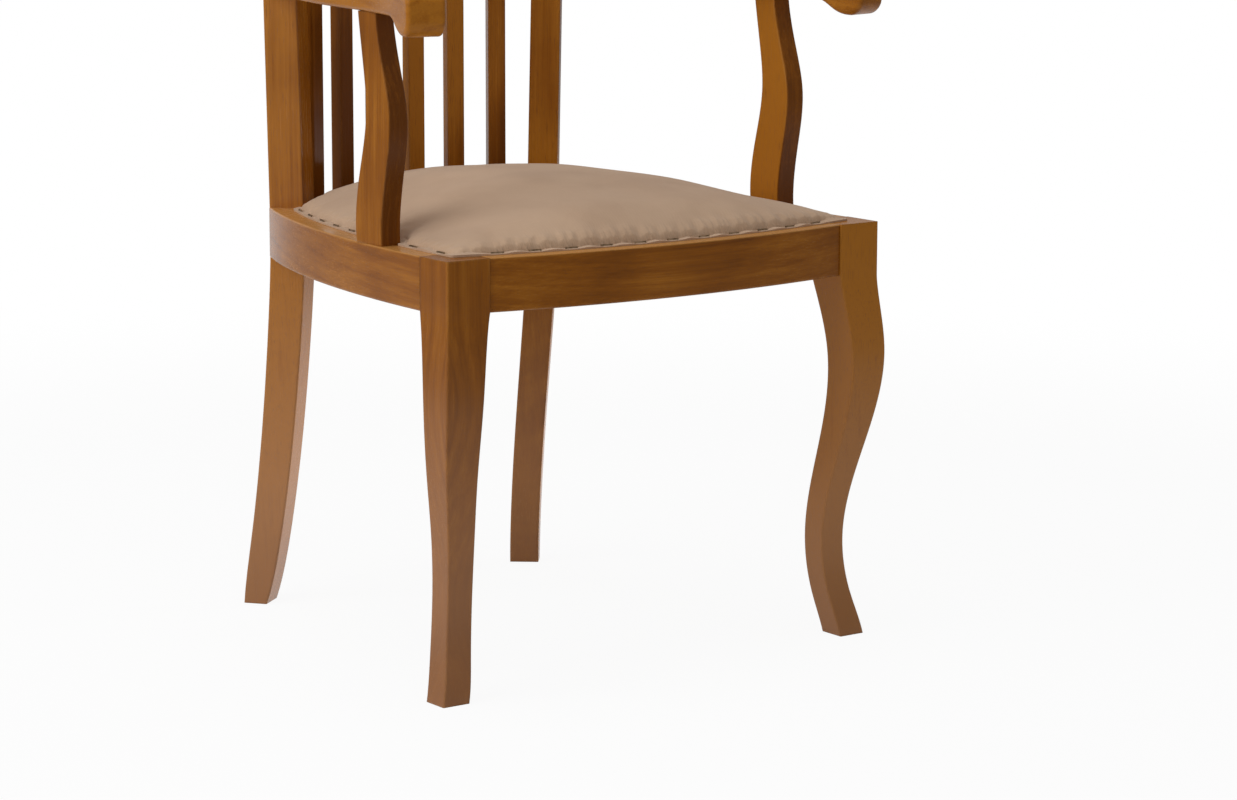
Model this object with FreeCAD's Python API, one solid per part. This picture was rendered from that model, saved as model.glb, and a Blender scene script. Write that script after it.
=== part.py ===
import FreeCAD, Part
import math
import os

# Armchair with a horseshoe seat frame, sawn cabriole front legs, sabre rear legs, a barrel back of
# upright slats and a pin-cushion seat. Lengths are millimetres and angles are degrees. The chair faces
# -Y and +Z is up. While it is drawn, y = 0 is the front face of the front legs. Pieces on the +X side
# are drawn and the ones on the -X side are their mirror images.

Vec = FreeCAD.Vector
UP = Vec(0, 0, 1)

# Seat frame
rail_top_height = 430.0
rail_height = 52.0
front_width = 522.0
leg_post = 48.4
front_rail_bow = 22.0
front_rail_setback = 2.0
front_rail_thickness = 34.0
side_rail_thickness = 36.0
side_rail_setback = 0.6
back_rail_thickness = 50.0
back_rail_behind_slats = 12.0

# Plan curve of the side rails: its heading at each end, measured from straight back, and its fullness
side_front_heading = 1.1
side_front_pull = 150.0
side_rear_heading = 23.0
side_rear_pull = 118.0
halving_count = 30

# Front legs: share of the height under the rail, swing of the outer corner outward and backward, side
front_leg_stations = (
    (0.00, -1.0, 12.7, 30.3),
    (0.11, -10.5, 22.1, 29.2),
    (0.28, -17.1, 28.0, 28.5),
    (0.43, -11.8, 19.2, 31.0),
    (0.59, -0.7, 4.3, 36.0),
    (0.79, 5.8, -7.0, 42.3),
    (0.96, 0.8, -0.8, 46.5),
)

# Barrel back: the slats stand on one arc in plan and the stiles a little ahead of it
back_beyond_width = 57.0
back_depth = 496.5
slat_count = 6
slat_pitch = 8.57
slat_width = 19.0
slat_thickness = 15.5

# Rear stiles: rear leg and back post in one piece
stile_angle = 30.8
stile_ahead_of_slats = 6.0
stile_turn = 38.4
stile_fan = 1.3
stile_depth = 38.2
stile_width = 32.4
stile_top_depth = 35.5
stile_top_width = 31.5
stile_foot_depth = 25.6
stile_foot_width = 31.9
rear_foot_out = 12.6
rear_foot_back = 55.0
rear_leg_out_power = 3.5
rear_leg_back_power = 1.25
rear_leg_taper_power = 0.3
rear_leg_stations = 8

# Crest rail
crest_top_height = 905.0
crest_height = 68.0
crest_thickness = 38.0
crest_arch = 14.0
crest_overhang = 15.0
crest_end_round = 16.0

# Arms
arm_underside_height = 653.0
arm_thickness = 26.0
arm_width = 38.5
arm_flare = 14.5
arm_nose_overhang = 25.0
arm_nose_setback = 27.0
arm_nose_drop = 16.5
arm_nose_length = 66.0
arm_nose_round = 11.0
arm_nose_chin = 15.0
arm_edge_round = 4.0

# Arm supports: share of the height, forward swing of the front edge, depth from front to back
support_setback = 126.0
support_inboard = 30.0
support_foot_thickness = 22.5
support_head_thickness = 20.5
support_stations = (
    (0.00, 0.0, 45.0),
    (0.30, 6.7, 46.5),
    (0.56, 14.0, 42.0),
    (0.76, 2.5, 35.0),
    (1.00, -10.0, 32.0),
)

# Joints
tenon_thickness = 10.0
tenon_length = 20.0
stile_tenon_length = 14.0
tenon_shoulder = 9.0
slat_tenon_width = 11.0
slat_tenon_thickness = 8.0
slat_tenon_length = 18.0
crest_tenon_size = 14.0
crest_tenon_length = 30.0
support_tenon_width = 18.0
support_foot_tenon_length = 24.0
support_head_tenon_length = 14.0
dowel_diameter = 6.0
dowel_length = 28.0
dowel_spacing = 12.0
dowel_offset = 3.0
joint_clearance = 0.15
joint_end_gap = 1.0

# Corner blocks and their screws
block_height = 30.0
block_drop = 10.0
block_reach_front = 66.0
block_reach_side = 70.0
block_reach_rear = 100.0
block_reach_back = 20.0
screw_diameter = 4.0
screw_length = 40.0
screw_head_diameter = 8.0
screw_head_height = 2.4
screw_spacing = 14.0

# Pin-cushion seat: bare wood left outside the cover, then the tacked border, then the crown
bare_front = 14.0
bare_side = 20.0
bare_back = 14.0
cover_border = 9.0
cover_thickness = 1.5
cushion_edge = 4.0
cushion_crown = 42.0
cushion_stations = 8
soft_gap = 0.3
notch_gap = 1.5

# Webbing and hessian, let into a rebate along the inner edges of the rails
strap_width = 50.0
strap_thickness = 1.5
strap_count = 4
strap_pitch_across = 66.0
strap_pitch_along = 96.0
webbing_landing = 10.0
webbing_gap = 1.0
hessian_thickness = 1.0
tacks_per_end = 3
tack_inset = 5.0
tack_diameter = 1.6
tack_length = 9.0
tack_head_diameter = 5.0
tack_head_height = 0.8

# Staples along the border of the cover
staple_crown = 13.0
staple_wire = 1.2
staple_leg = 7.0
front_staple_count = 11
side_front_staple_count = 2
side_rear_staple_count = 6
back_staple_count = 6

# Sawn edges: rounding of straight and swept pieces, bevel of the rails that are cut from a ring
arris = 1.4
ring_bevel = 1.0

# Values worked out from the driving dimensions
rail_bottom = rail_top_height - rail_height
half_width = front_width / 2
back_radius = half_width + back_beyond_width
arm_nose_out = half_width + arm_nose_overhang
support_out = half_width - support_inboard
back_centre_y = back_depth - back_radius
crest_bottom = crest_top_height - crest_height
front_rail_end = half_width - leg_post
front_arc_radius = (front_rail_end ** 2 + front_rail_bow ** 2) / (2 * front_rail_bow)
front_arc_centre_y = front_rail_setback - front_rail_bow + front_arc_radius
rebate_depth = 2 * strap_thickness + hessian_thickness
stile_out = Vec(math.sin(math.radians(stile_turn)), math.cos(math.radians(stile_turn)), 0)
stile_fore = Vec(math.cos(math.radians(stile_turn)), -math.sin(math.radians(stile_turn)), 0)
far = 2 * (front_width + back_depth)


def at_height(point, height):
    """The plan point raised to a height."""
    return Vec(point.x, point.y, height)


def inward_of(direction):
    """Unit plan vector square to a rearward direction, pointing to the chair's middle."""
    return Vec(-direction.y, direction.x, 0).normalize()


def prism(corners, low, high):
    """Upright prism on plan corners."""
    ring = [at_height(corner, low) for corner in corners]
    return Part.Face(Part.makePolygon(ring + ring[:1])).extrude(UP * (high - low))


def bar(start, along, length, width, low, high):
    """Box that leaves a plan point along a unit vector, centred on it."""
    across = Vec(-along.y, along.x, 0) * (width / 2)
    end = start + along * length
    return prism([start + across, start - across, end - across, end + across], low, high)


def rounded_section(centre, along, across, length, width, radius):
    """Horizontal rectangle with round corners, as a wire."""
    edges = []
    reach = [(1, 1), (-1, 1), (-1, -1), (1, -1)]
    straight_length = length / 2 - radius
    straight_width = width / 2 - radius
    slant = radius * math.sqrt(0.5)
    for index, (sign_a, sign_b) in enumerate(reach):
        corner = centre + along * (sign_a * straight_length) + across * (sign_b * straight_width)
        side_a = corner + along * (sign_a * radius)
        side_b = corner + across * (sign_b * radius)
        middle = corner + along * (sign_a * slant) + across * (sign_b * slant)
        start, end = (side_a, side_b) if index % 2 == 0 else (side_b, side_a)
        edges.append((start, middle, end))
    wire = []
    for index, (start, middle, end) in enumerate(edges):
        wire.append(Part.Arc(start, middle, end).toShape())
        following = edges[(index + 1) % len(edges)][0]
        wire.append(Part.makeLine(end, following))
    return Part.Wire(wire)


def mirrored(shape):
    """The same piece on the -X side."""
    return shape.mirror(Vec(0, 0, 0), Vec(1, 0, 0))


def both_sides(shape):
    """A shape together with its mirror image, as one tool for cutting."""
    return Part.makeCompound([shape, mirrored(shape)])


def round_long_edges(shape, radius, least_length):
    """Rounds the edges that run the length of a piece."""
    return shape.makeFillet(radius, [edge for edge in shape.Edges if edge.Length > least_length])


# Plan of the barrel back

def back_point(angle, radius=None):
    """Plan point on the back's arc, by its angle from the middle."""
    reach = back_radius if radius is None else radius
    turn = math.radians(angle)
    return Vec(reach * math.sin(turn), back_centre_y + reach * math.cos(turn), 0)


def stile_centre(height):
    """Centre of the stile's section at a height."""
    centre = back_point(stile_angle, back_radius - stile_ahead_of_slats)
    below = max(rail_bottom - height, 0) / rail_bottom
    out = rear_foot_out * below ** rear_leg_out_power
    back = rear_foot_back * below ** rear_leg_back_power
    fan = max(height - rail_top_height, 0) * math.tan(math.radians(stile_fan))
    return Vec(centre.x + out + fan, centre.y + back, height)


def stile_size(height):
    """Depth and width of the stile's section at a height."""
    if height < rail_bottom:
        share = height / rail_bottom
        depth = stile_foot_depth + (stile_depth - stile_foot_depth) * share ** rear_leg_taper_power
        return depth, stile_foot_width + (stile_width - stile_foot_width) * share
    share = max(height - rail_top_height, 0) / (crest_bottom - rail_top_height)
    depth = stile_depth + (stile_top_depth - stile_depth) * share
    return depth, stile_width + (stile_top_width - stile_width) * share


def stile_section(height):
    """Outline of the stile at a height."""
    depth, width = stile_size(height)
    return rounded_section(stile_centre(height), stile_out, stile_fore, depth, width, arris)


def stile_space(low, high, side):
    """The stile's space and all beyond it, seen from its front joint face (1) or rear one (-1)."""
    sections = []
    for height in (low, high):
        face = stile_centre(height) + stile_fore * (side * stile_size(height)[1] / 2)
        beyond = face - stile_fore * (side * far)
        spread = stile_out * far
        ring = [face + spread, face - spread, beyond - spread, beyond + spread]
        sections.append(Part.makePolygon(ring + ring[:1]))
    return Part.makeLoft(sections, True, True)


# Plan curve of the side rails and arms

def side_poles(inset):
    """Four poles of the side curve, moved inward by an inset."""
    corner = (stile_centre(rail_top_height) + stile_out * (stile_depth / 2)
              + stile_fore * (stile_width / 2))
    start = Vec(half_width - side_rail_setback, leg_post, 0)
    end = at_height(corner, 0)
    first = Vec(-math.sin(math.radians(side_front_heading)), math.cos(math.radians(side_front_heading)), 0)
    last = Vec(-math.sin(math.radians(side_rear_heading)), math.cos(math.radians(side_rear_heading)), 0)
    start_in = inward_of(first) * inset
    end_in = inward_of(last) * inset
    return [start + start_in, start + start_in + first * side_front_pull,
            end + end_in - last * side_rear_pull, end + end_in]


def side_curve(inset):
    """The side curve at an inset."""
    curve = Part.BezierCurve()
    curve.setPoles(side_poles(inset))
    return curve


def side_place(depth, inset=0.0):
    """Point and rearward direction on the side curve at a depth behind the front legs."""
    curve = side_curve(inset)
    low, high = 0.0, 1.0
    for halving in range(halving_count):
        middle = (low + high) / 2
        if curve.value(middle).y < depth:
            low = middle
        else:
            high = middle
    return curve.value(low), curve.tangent(low)[0]


def seat_prism(front_inset, side_inset, rear_radius, low, high):
    """Upright prism on the horseshoe outline of the seat, drawn in by its insets."""
    poles = side_poles(side_inset)
    lead = poles[0] + (poles[0] - poles[1]).normalize() * leg_post * 2
    tail = poles[3] + (poles[3] - poles[2]).normalize() * leg_post * 2
    half = [Part.makeLine(lead, poles[0]), side_curve(side_inset).toShape(), Part.makeLine(poles[3], tail)]
    caps = [Part.makeLine(lead, Vec(-lead.x, lead.y, 0)), Part.makeLine(tail, Vec(-tail.x, tail.y, 0))]
    outline = Part.Wire(Part.sortEdges(half + [mirrored(edge) for edge in half] + caps)[0])
    body = Part.Face(outline).extrude(UP * (high - low))
    body.translate(UP * low)
    front = Part.makeCylinder(front_arc_radius - front_inset, high - low, Vec(0, front_arc_centre_y, low))
    back = Part.makeCylinder(rear_radius, high - low, Vec(0, back_centre_y, low))
    return body.common(front).common(back)


# Tenons: each maker gives the tenon, or its mortise when it is passed a clearance and an end gap

def front_rail_tenon(clearance=0.0, end_gap=0.0):
    """Tenon of the front rail in the +X leg."""
    start = Vec(front_rail_end, front_rail_setback + front_rail_thickness / 2, 0)
    return rail_tenon(start, Vec(1, 0, 0), tenon_length, clearance, end_gap)


def side_rail_front_tenon(clearance=0.0, end_gap=0.0):
    """Tenon of the side rail in the front leg."""
    start = Vec(half_width - side_rail_setback - side_rail_thickness / 2, leg_post, 0)
    return rail_tenon(start, Vec(0, -1, 0), tenon_length, clearance, end_gap)


def side_rail_rear_tenon(clearance=0.0, end_gap=0.0):
    """Tenon of the side rail in the stile."""
    start = stile_centre(rail_top_height) + stile_fore * (stile_width / 2)
    return rail_tenon(start, stile_fore * -1, stile_tenon_length, clearance, end_gap)


def back_rail_tenon(clearance=0.0, end_gap=0.0):
    """Tenon of the back rail in the stile."""
    start = stile_centre(rail_top_height) - stile_fore * (stile_width / 2)
    return rail_tenon(start, stile_fore, stile_tenon_length, clearance, end_gap)


def rail_tenon(start, along, length, clearance, end_gap):
    """Upright tenon of a seat rail."""
    low = rail_bottom + tenon_shoulder - clearance
    high = rail_top_height - tenon_shoulder + clearance
    return bar(start, along, length + end_gap, tenon_thickness + 2 * clearance, low, high)


def post_tenon(centre, along, length, width, low, high, clearance):
    """Tenon of an upright piece, centred on a plan point."""
    start = at_height(centre, 0) - along * (length / 2 + clearance)
    return bar(start, along, length + 2 * clearance, width + 2 * clearance, low, high)


def slat_foot_tenon(angle, clearance=0.0, end_gap=0.0):
    """Tenon of a slat in the back rail."""
    low = rail_top_height - slat_tenon_length - end_gap
    return post_tenon(back_point(angle), slat_across(angle), slat_tenon_width, slat_tenon_thickness,
                      low, rail_top_height, clearance)


def slat_head_tenon(angle, clearance=0.0, end_gap=0.0):
    """Tenon of a slat in the crest rail."""
    high = crest_bottom + slat_tenon_length + end_gap
    return post_tenon(back_point(angle), slat_across(angle), slat_tenon_width, slat_tenon_thickness,
                      crest_bottom, high, clearance)


def stile_head_tenon(clearance=0.0, end_gap=0.0):
    """Tenon of the stile in the crest rail."""
    high = crest_bottom + crest_tenon_length + end_gap
    return post_tenon(stile_centre(crest_bottom), stile_fore, crest_tenon_size, crest_tenon_size,
                      crest_bottom, high, clearance)


def support_foot_tenon(clearance=0.0, end_gap=0.0):
    """Tenon of the arm support in the side rail."""
    low = rail_top_height - support_foot_tenon_length - end_gap
    return post_tenon(support_centre(0), Vec(0, 1, 0), support_tenon_width, tenon_thickness,
                      low, rail_top_height, clearance)


def support_head_tenon(clearance=0.0, end_gap=0.0):
    """Tenon of the arm support in the arm."""
    high = arm_underside_height + support_head_tenon_length + end_gap
    return post_tenon(support_centre(-1), Vec(0, 1, 0), support_tenon_width, tenon_thickness,
                      arm_underside_height, high, clearance)


def mortise(tenon, *place):
    """Socket of a tenon."""
    return tenon(*place, clearance=joint_clearance, end_gap=joint_end_gap)


# Frame pieces before their sockets are cut

def front_leg_blank():
    """Sawn cabriole leg with its square post."""
    sections = []
    for share, outward, backward, side in front_leg_stations:
        centre = Vec(half_width + outward - side / 2, backward + side / 2, share * rail_bottom)
        sections.append(rounded_section(centre, Vec(1, 0, 0), Vec(0, 1, 0), side, side, arris))
    post_centre = Vec(half_width - leg_post / 2, leg_post / 2, rail_bottom)
    post = rounded_section(post_centre, Vec(1, 0, 0), Vec(0, 1, 0), leg_post, leg_post, arris)
    shank = Part.makeLoft(sections + [post], True, False)
    return shank.fuse(Part.Face(post).extrude(UP * rail_height)).removeSplitter()


def stile_blank():
    """Rear leg and back post in one piece, with its tenon for the crest rail."""
    heights = [rail_bottom * step / rear_leg_stations for step in range(rear_leg_stations + 1)]
    leg = Part.makeLoft([stile_section(height) for height in heights], True, False)
    middle = Part.Face(stile_section(rail_bottom)).extrude(UP * rail_height)
    post = Part.makeLoft([stile_section(rail_top_height), stile_section(crest_bottom)], True, True)
    return leg.fuse([middle, post, stile_head_tenon()]).removeSplitter()


def arc_rail(outer_radius, thickness, centre_y):
    """Full ring that a curved rail is cut from, with its edges bevelled."""
    base = Vec(0, centre_y, rail_bottom)
    ring = Part.makeCylinder(outer_radius, rail_height, base)
    ring = ring.cut(Part.makeCylinder(outer_radius - thickness, rail_height, base))
    return ring.makeChamfer(ring_bevel, [edge for edge in ring.Edges if edge.isClosed()])


def front_rail_blank():
    """Bowed front rail with a tenon at each end."""
    ring = arc_rail(front_arc_radius, front_rail_thickness, front_arc_centre_y)
    reach = front_rail_bow + front_rail_thickness
    window = prism([Vec(-front_rail_end, -reach, 0), Vec(front_rail_end, -reach, 0),
                    Vec(front_rail_end, 2 * reach, 0), Vec(-front_rail_end, 2 * reach, 0)],
                   rail_bottom, rail_top_height)
    tenon = front_rail_tenon()
    return ring.common(window).fuse([tenon, mirrored(tenon)])


def back_rail_blank():
    """Curved back rail between the stiles with a tenon at each end."""
    ring = arc_rail(back_radius + back_rail_behind_slats, back_rail_thickness, back_centre_y)
    ring = ring.cut(both_sides(stile_space(rail_bottom, rail_top_height, -1)))
    tenon = back_rail_tenon()
    return ring.fuse([tenon, mirrored(tenon)])


def side_rail_blank():
    """Curved side rail from the front leg to the stile with a tenon at each end."""
    outer = side_curve(0)
    inner = side_curve(side_rail_thickness)
    outline = Part.Wire([outer.toShape(), Part.makeLine(outer.value(1), inner.value(1)), inner.toShape(),
                         Part.makeLine(inner.value(0), outer.value(0))])
    body = Part.Face(outline).extrude(UP * rail_height)
    body.translate(UP * rail_bottom)
    body = round_long_edges(body, arris, side_front_pull)
    leg_side = bar(Vec(half_width, leg_post, 0), Vec(0, -1, 0), leg_post, far, rail_bottom, rail_top_height)
    body = body.cut(stile_space(rail_bottom, rail_top_height, 1)).cut(leg_side)
    return body.fuse([side_rail_front_tenon(), side_rail_rear_tenon()])


def slat_across(angle):
    """Unit vector along the back's arc at a slat."""
    turn = math.radians(angle)
    return Vec(math.cos(turn), -math.sin(turn), 0)


def slat(angle):
    """Upright slat with its two tenons."""
    across = slat_across(angle)
    out = Vec(-across.y, across.x, 0)
    foot = at_height(back_point(angle), rail_top_height)
    section = rounded_section(foot, across, out, slat_width, slat_thickness, arris)
    body = Part.Face(section).extrude(UP * (crest_bottom - rail_top_height))
    return body.fuse([slat_foot_tenon(angle), slat_head_tenon(angle)])


def crest_blank():
    """Curved crest rail with an arched top edge."""
    tip = stile_centre(crest_bottom)
    sagitta = back_depth - tip.y
    radius = (tip.x ** 2 + sagitta ** 2) / (2 * sagitta)
    base = Vec(0, back_depth - radius, crest_bottom)
    ring = Part.makeCylinder(radius + crest_thickness / 2, crest_height, base)
    ring = ring.cut(Part.makeCylinder(radius - crest_thickness / 2, crest_height, base))
    ring = ring.makeChamfer(ring_bevel, [edge for edge in ring.Edges if edge.isClosed() and edge.BoundBox.ZMax
                                         < crest_bottom + ring_bevel])
    half = tip.x + crest_overhang
    front = tip.y - crest_thickness
    shoulder = crest_top_height - crest_arch
    corners = [Vec(-half, front, crest_bottom), Vec(half, front, crest_bottom), Vec(half, front, shoulder)]
    crown = Part.Arc(corners[2], Vec(0, front, crest_top_height), Vec(-half, front, shoulder)).toShape()
    outline = Part.Wire([Part.makeLine(corners[0], corners[1]), Part.makeLine(corners[1], corners[2]), crown,
                         Part.makeLine(Vec(-half, front, shoulder), corners[0])])
    face_board = Part.Face(outline).extrude(Vec(0, sagitta + 3 * crest_thickness, 0))
    ends = [edge for edge in face_board.Edges if abs(edge.CenterOfMass.x) > half - arris
            and abs(edge.CenterOfMass.z - shoulder) < arris]
    return ring.common(face_board.makeFillet(crest_end_round, ends))


# Arms and their supports

def support_level(station):
    """Height, front edge and rear edge of the support at a station."""
    share, swing, depth = support_stations[station]
    height = rail_top_height + share * (arm_underside_height - rail_top_height)
    return height, support_setback - swing, support_setback - swing + depth


def support_centre(station):
    """Middle of the support's section at a station."""
    height, front, rear = support_level(station)
    return Vec(support_out + support_head_thickness / 2, (front + rear) / 2, height)


def arm_support_blank():
    """S-shaped support sawn from a board that thins upward, with its two tenons."""
    levels = [support_level(station) for station in range(len(support_stations))]
    front = [Vec(support_out, level[1], level[0]) for level in levels]
    rear = [Vec(support_out, level[2], level[0]) for level in levels]
    curves = []
    for points in (front, rear):
        curve = Part.BSplineCurve()
        curve.interpolate(points)
        curves.append(curve.toShape())
    outline = Part.Wire([curves[0], Part.makeLine(front[-1], rear[-1]), curves[1],
                         Part.makeLine(rear[0], front[0])])
    board = Part.Face(outline).extrude(Vec(support_foot_thickness, 0, 0))
    thinned = [Vec(support_out, 0, rail_top_height),
               Vec(support_out + support_foot_thickness, 0, rail_top_height),
               Vec(support_out + support_head_thickness, 0, arm_underside_height),
               Vec(support_out, 0, arm_underside_height)]
    board = board.common(Part.Face(Part.makePolygon(thinned + thinned[:1])).extrude(Vec(0, far, 0)))
    board = round_long_edges(board, arris, support_stations[0][2] * 2)
    return board.fuse([support_foot_tenon(), support_head_tenon()])


def arm_plan():
    """Plan outline of the arm as a face: it follows the side rail, then flares to the hand-hold."""
    top = arm_underside_height + arm_thickness
    rear_corner = (stile_centre(top) + stile_out * (stile_size(top)[0] / 2)
                   + stile_fore * (stile_size(top)[1] / 2))
    rear_heading = Vec(-math.sin(math.radians(side_rear_heading)), math.cos(math.radians(side_rear_heading)), 0)
    flare = Vec(-math.sin(math.radians(arm_flare)), math.cos(math.radians(arm_flare)), 0)
    support_middle = support_setback + support_stations[0][2] / 2
    span = rear_corner.y - support_middle
    places = [(Vec(arm_nose_out, arm_nose_setback, 0), flare)]
    places += [side_place(support_middle + span * part) for part in (0.0, 0.33, 0.66)]
    places.append((at_height(rear_corner, 0), rear_heading))
    edges = []
    for inset in (0.0, arm_width):
        points = [point + inward_of(heading) * inset for point, heading in places]
        curve = Part.BSplineCurve()
        curve.interpolate(points, InitialTangent=flare, FinalTangent=rear_heading)
        edges.append((curve.toShape(), points))
    (outer, outer_points), (inner, inner_points) = edges
    return Part.Face(Part.Wire([outer, Part.makeLine(outer_points[-1], inner_points[-1]), inner,
                                Part.makeLine(inner_points[0], outer_points[0])]))


def bezier(*points):
    """Bezier edge on its poles."""
    curve = Part.BezierCurve()
    curve.setPoles(list(points))
    return curve.toShape()


def arm_side_view():
    """Board with the arm's side profile: level, with a drooping round nose at the front."""
    flare = math.radians(arm_flare)
    back = Vec(-math.sin(flare), math.cos(flare), 0)
    across = Vec(math.cos(flare), math.sin(flare), 0)
    base = Vec(arm_nose_out, arm_nose_setback, 0) - across * far
    under = arm_underside_height
    top = under + arm_thickness
    low = under - arm_nose_drop

    def spot(behind, height):
        return base + back * behind + UP * height

    slope = arm_nose_length - arm_nose_chin
    bevel = arm_nose_round * (1 - math.sqrt(0.5))
    edges = [
        Part.Arc(spot(0, top - arm_nose_round), spot(bevel, top - bevel), spot(arm_nose_round, top)).toShape(),
        Part.makeLine(spot(arm_nose_round, top), spot(far, top)),
        Part.makeLine(spot(far, top), spot(far, under)),
        Part.makeLine(spot(far, under), spot(arm_nose_length, under)),
        bezier(spot(arm_nose_length, under), spot(arm_nose_length - slope / 2, under),
               spot(arm_nose_chin + slope / 2, low), spot(arm_nose_chin, low)),
        bezier(spot(arm_nose_chin, low), spot(arm_nose_chin / 2, low), spot(0, low + arm_nose_chin / 2),
               spot(0, low + arm_nose_chin)),
        Part.makeLine(spot(0, low + arm_nose_chin), spot(0, top - arm_nose_round)),
    ]
    return Part.Face(Part.Wire(edges)).extrude(across * (2 * far))


def arm_blank():
    """Flat curved arm with its hand-hold, trimmed on the stile."""
    low = arm_underside_height - arm_nose_drop
    top = arm_underside_height + arm_thickness
    plan = arm_plan().extrude(UP * (2 * (top - low)))
    plan.translate(UP * (low - (top - low) / 2))
    body = plan.common(arm_side_view())
    rims = [edge for edge in body.Edges if edge.BoundBox.ZLength > arm_edge_round / 4
            or edge.BoundBox.YLength > arm_nose_length]
    rims = [edge for edge in rims if edge.CenterOfMass.y < stile_centre(top).y - stile_width / 2]
    body = body.makeFillet(arm_edge_round, rims)
    return body.cut(stile_space(low, top, 1))


def arm_dowels():
    """Two dowels between the arm and the stile."""
    height = arm_underside_height + arm_thickness / 2
    face = stile_centre(height) + stile_fore * (stile_size(height)[1] / 2)
    dowels = []
    for step in (-0.5, 0.5):
        aside = step * dowel_spacing - dowel_offset
        start = face + stile_out * aside - stile_fore * (dowel_length / 2)
        dowels.append(Part.makeCylinder(dowel_diameter / 2, dowel_length, start, stile_fore))
    return dowels


# Corner blocks

def block_corners(place):
    """Plan triangle of a corner block, its corners inside the pieces that it is glued to."""
    if place == "front":
        radius = front_arc_radius - front_rail_thickness / 2
        x = front_rail_end - block_reach_front
        rail = Vec(x, front_arc_centre_y - math.sqrt(radius ** 2 - x ** 2), 0)
        side = side_place(leg_post + block_reach_side, side_rail_thickness / 2)[0]
        return [Vec(half_width - leg_post / 2, leg_post / 2, 0), rail, side]
    radius = back_radius + back_rail_behind_slats - back_rail_thickness / 2
    centre = at_height(stile_centre(rail_top_height), 0)
    side = side_place(centre.y - block_reach_rear, side_rail_thickness / 2)[0]
    return [centre, side, back_point(stile_angle - block_reach_back, radius)]


def corner_block(place, neighbours):
    """Triangular glue block, shaped to the pieces around it."""
    high = rail_top_height - block_drop
    body = prism(block_corners(place), high - block_height, high)
    for piece in neighbours:
        body = body.cut(piece)
    return max(body.Solids, key=lambda solid: solid.Volume)


def block_screws(place):
    """Two screws through a block's long face."""
    corner, first, second = block_corners(place)
    along = (second - first).normalize()
    inward = Vec(-along.y, along.x, 0)
    if inward.dot(corner - first) < 0:
        inward = inward * -1
    middle = (first + second) * 0.5
    centre = rail_top_height - block_drop - block_height / 2
    screws = []
    for step in (-0.5, 0.5):
        start = at_height(middle, centre + step * screw_spacing)
        shank = Part.makeCylinder(screw_diameter / 2, screw_length, start, inward)
        head = Part.makeCylinder(screw_head_diameter / 2, screw_head_height, start, inward * -1)
        screws.append(shank.fuse(head).removeSplitter())
    return screws


# Seat

def cover_back_radius():
    """Radius of the cover's rear edge, in front of the slats."""
    return back_radius - slat_thickness / 2 - bare_back


def webbing_prism(gap, low, high):
    """Outline of the rebate along the inner edges of the rails, drawn in by a gap."""
    landing = webbing_landing - gap
    back = back_radius + back_rail_behind_slats - back_rail_thickness + landing
    return seat_prism(front_rail_thickness - landing, side_rail_thickness - landing, back, low, high)


def cushion(spare):
    """Crowned cushion, grown by a spare thickness all over."""
    drawn_in = cover_border - spare
    front = bare_front + drawn_in
    side = bare_side + drawn_in
    back = cover_back_radius() - drawn_in
    low_y = front_arc_centre_y - front_arc_radius + front
    high_y = back_centre_y + back
    sections = []
    for step in range(cushion_stations + 1):
        turn = math.pi * step / cushion_stations
        y = (low_y + high_y) / 2 - math.cos(turn) * (high_y - low_y) / 2
        half = side_place(y, side)[0].x + cover_border
        edge = rail_top_height + cushion_edge + spare
        crown = edge + max(cushion_crown * math.sin(turn), cushion_edge / 3)
        corners = [Vec(-half, y, rail_top_height), Vec(half, y, rail_top_height), Vec(half, y, edge)]
        top = Part.Arc(corners[2], Vec(0, y, crown), Vec(-half, y, edge)).toShape()
        sections.append(Part.Wire([Part.makeLine(corners[0], corners[1]), Part.makeLine(corners[1], corners[2]),
                                   top, Part.makeLine(Vec(-half, y, edge), corners[0])]))
    dome = Part.makeLoft(sections, True, False)
    high = rail_top_height + 2 * cushion_crown
    return dome.common(seat_prism(front, side, back, rail_top_height, high))


def support_notch():
    """Slit in the cover round the foot of an arm support."""
    height, front, rear = support_level(0)
    start = Vec(support_out + support_foot_thickness / 2, front - notch_gap, 0)
    return bar(start, Vec(0, 1, 0), rear - front + 2 * notch_gap, support_foot_thickness + 2 * notch_gap,
               height, height + cushion_crown)


def stile_notch():
    """Cut-out of the cover round a rear stile."""
    depth, width = stile_size(rail_top_height)
    start = at_height(stile_centre(rail_top_height), 0) - stile_out * (depth / 2 + notch_gap)
    return bar(start, stile_out, depth + 2 * notch_gap, width + 2 * notch_gap,
               rail_top_height, rail_top_height + cushion_crown)


def seat_cover():
    """Cloth over the cushion with a flat border for the staples."""
    border = seat_prism(bare_front, bare_side, cover_back_radius(), rail_top_height,
                        rail_top_height + cover_thickness)
    cloth = border.fuse(cushion(soft_gap + cover_thickness)).cut(cushion(soft_gap))
    return cloth.cut([both_sides(support_notch()), both_sides(stile_notch())])


def seat_middle():
    """Depth of the middle of the seat opening."""
    front = front_arc_centre_y - front_arc_radius + front_rail_thickness
    back = back_centre_y + back_radius + back_rail_behind_slats - back_rail_thickness
    return (front + back) / 2


def strap_centres(pitch):
    """Places of the straps of one layer, either side of the middle."""
    return [(index - (strap_count - 1) / 2) * pitch for index in range(strap_count)]


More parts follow.
